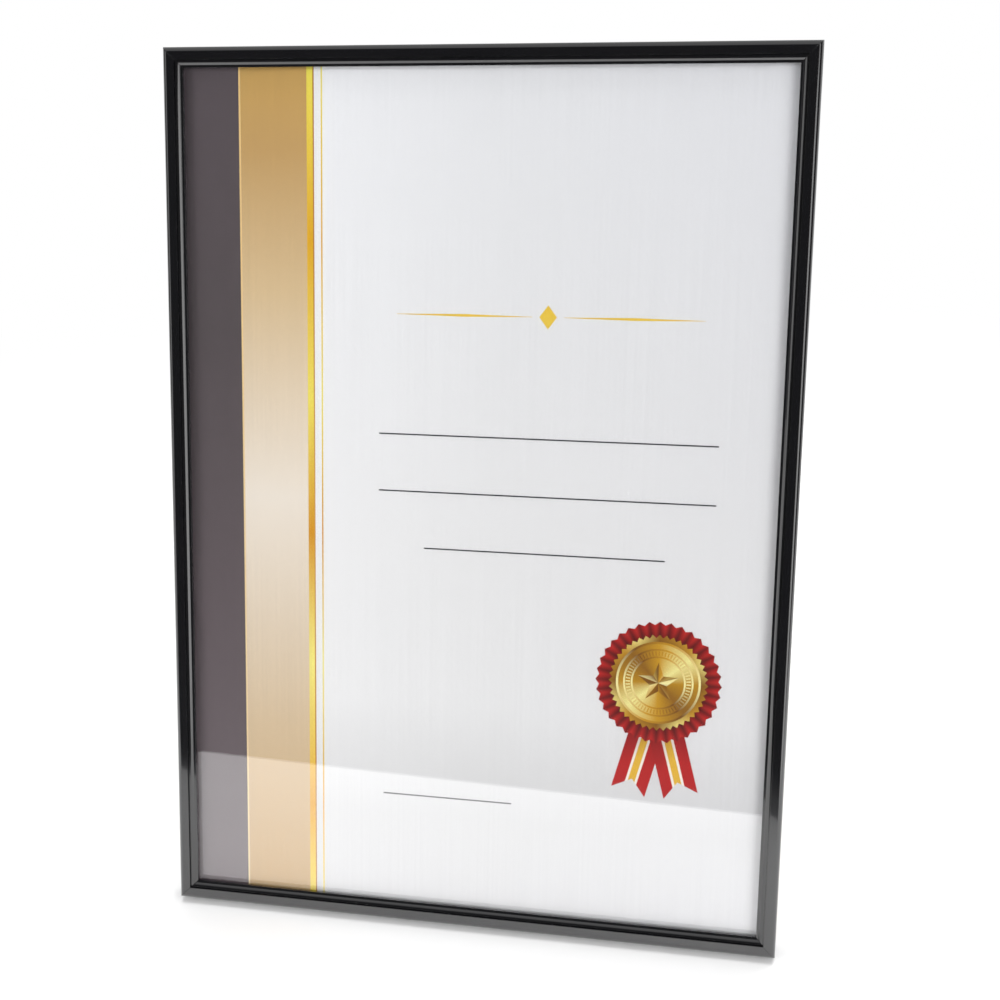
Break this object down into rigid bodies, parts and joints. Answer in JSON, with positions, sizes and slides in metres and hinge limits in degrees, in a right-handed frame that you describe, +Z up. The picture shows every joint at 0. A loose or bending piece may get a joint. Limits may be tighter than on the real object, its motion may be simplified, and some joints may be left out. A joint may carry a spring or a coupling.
{
  "type": "certificate frame",
  "caption": "Slim black mitred frame for an A3 certificate, with glass, a backboard held by turn buttons, a hinged easel strut and ring hangers for the wall.",
  "frame": {"origin": "on the table under the middle of the standing frame's bounding box", "axes": "+X to the viewer's right, front towards -Y, +Z up"},
  "size_m": [0.308, 0.1104, 0.4231],
  "materials": {
    "black_moulding": "extruded polystyrene, glossy black",
    "clear_glass": "clear float glass",
    "printed_card": "printed coated card",
    "raw_board": "raw MDF",
    "zinc_steel": "zinc-plated stamped steel",
    "nickel_wire": "nickel-plated wire",
    "nail_steel": "bright steel strip"
  },
  "bodies": {
    "frame": {"top_rail": "black_moulding", "bottom_rail": "black_moulding", "left_rail": "black_moulding", "right_rail": "black_moulding", "corner_v_nails": "nail_steel", "glazing": "clear_glass", "certificate_sheet": "printed_card", "backboard": "raw_board", "turn_button_rivets": "zinc_steel", "strut_hinge_fixed_leaf": "zinc_steel", "strut_hinge_pin": "zinc_steel", "fixed_leaf_rivets": "zinc_steel", "top_hanger_strap": "zinc_steel", "side_hanger_strap": "zinc_steel", "hanger_rivets": "zinc_steel"},
    "easel_leg": {"strut": "raw_board", "strut_hinge_moving_leaf": "zinc_steel", "moving_leaf_rivets": "zinc_steel"},
    "button_top_left": {"turn_button_top_left": "zinc_steel"},
    "button_top_right": {"turn_button_top_right": "zinc_steel"},
    "button_bottom_left": {"turn_button_bottom_left": "zinc_steel"},
    "button_bottom_right": {"turn_button_bottom_right": "zinc_steel"},
    "button_left_upper": {"turn_button_left_upper": "zinc_steel"},
    "button_left_lower": {"turn_button_left_lower": "zinc_steel"},
    "button_right_upper": {"turn_button_right_upper": "zinc_steel"},
    "button_right_lower": {"turn_button_right_lower": "zinc_steel"},
    "top_ring": {"top_hanger_ring": "nickel_wire"},
    "side_ring": {"side_hanger_ring": "nickel_wire"}
  },
  "joints": [
    {"name": "strut_swing", "type": "hinge", "parent": "frame", "child": "easel_leg", "pos_m": [0, 0.02541, 0.31293], "axis": [1, 0, 0], "range_deg": [-18, 0]},
    {"name": "button_top_left_turn", "type": "hinge", "parent": "frame", "child": "button_top_left", "pos_m": [-0.095, 0.04494, 0.40745], "axis": [0, 0.9754, -0.2205], "range_deg": [-90, 90]},
    {"name": "button_top_right_turn", "type": "hinge", "parent": "frame", "child": "button_top_right", "pos_m": [0.095, 0.04494, 0.40745], "axis": [0, 0.9754, -0.2205], "range_deg": [-90, 90]},
    {"name": "button_bottom_left_turn", "type": "hinge", "parent": "frame", "child": "button_bottom_left", "pos_m": [-0.095, -0.04371, 0.01534], "axis": [0, 0.9754, -0.2205], "range_deg": [-90, 90]},
    {"name": "button_bottom_right_turn", "type": "hinge", "parent": "frame", "child": "button_bottom_right", "pos_m": [0.095, -0.04371, 0.01534], "axis": [0, 0.9754, -0.2205], "range_deg": [-90, 90]},
    {"name": "button_left_upper_turn", "type": "hinge", "parent": "frame", "child": "button_left_upper", "pos_m": [-0.1395, 0.02928, 0.3382], "axis": [0, 0.9754, -0.2205], "range_deg": [-90, 90]},
    {"name": "button_left_lower_turn", "type": "hinge", "parent": "frame", "child": "button_left_lower", "pos_m": [-0.1395, -0.02805, 0.0846], "axis": [0, 0.9754, -0.2205], "range_deg": [-90, 90]},
    {"name": "button_right_upper_turn", "type": "hinge", "parent": "frame", "child": "button_right_upper", "pos_m": [0.1395, 0.02928, 0.3382], "axis": [0, 0.9754, -0.2205], "range_deg": [-90, 90]},
    {"name": "button_right_lower_turn", "type": "hinge", "parent": "frame", "child": "button_right_lower", "pos_m": [0.1395, -0.02805, 0.0846], "axis": [0, 0.9754, -0.2205], "range_deg": [-90, 90]},
    {"name": "top_ring_swing", "type": "hinge", "parent": "frame", "child": "top_ring", "pos_m": [0, 0.0429, 0.39048], "axis": [1, 0, 0], "range_deg": [-7.74, 167.26]},
    {"name": "side_ring_swing", "type": "hinge", "parent": "frame", "child": "side_ring", "pos_m": [0.1225, 0.00232, 0.21101], "axis": [0, 0.2205, 0.9754], "range_deg": [0, 175]}
  ]
}
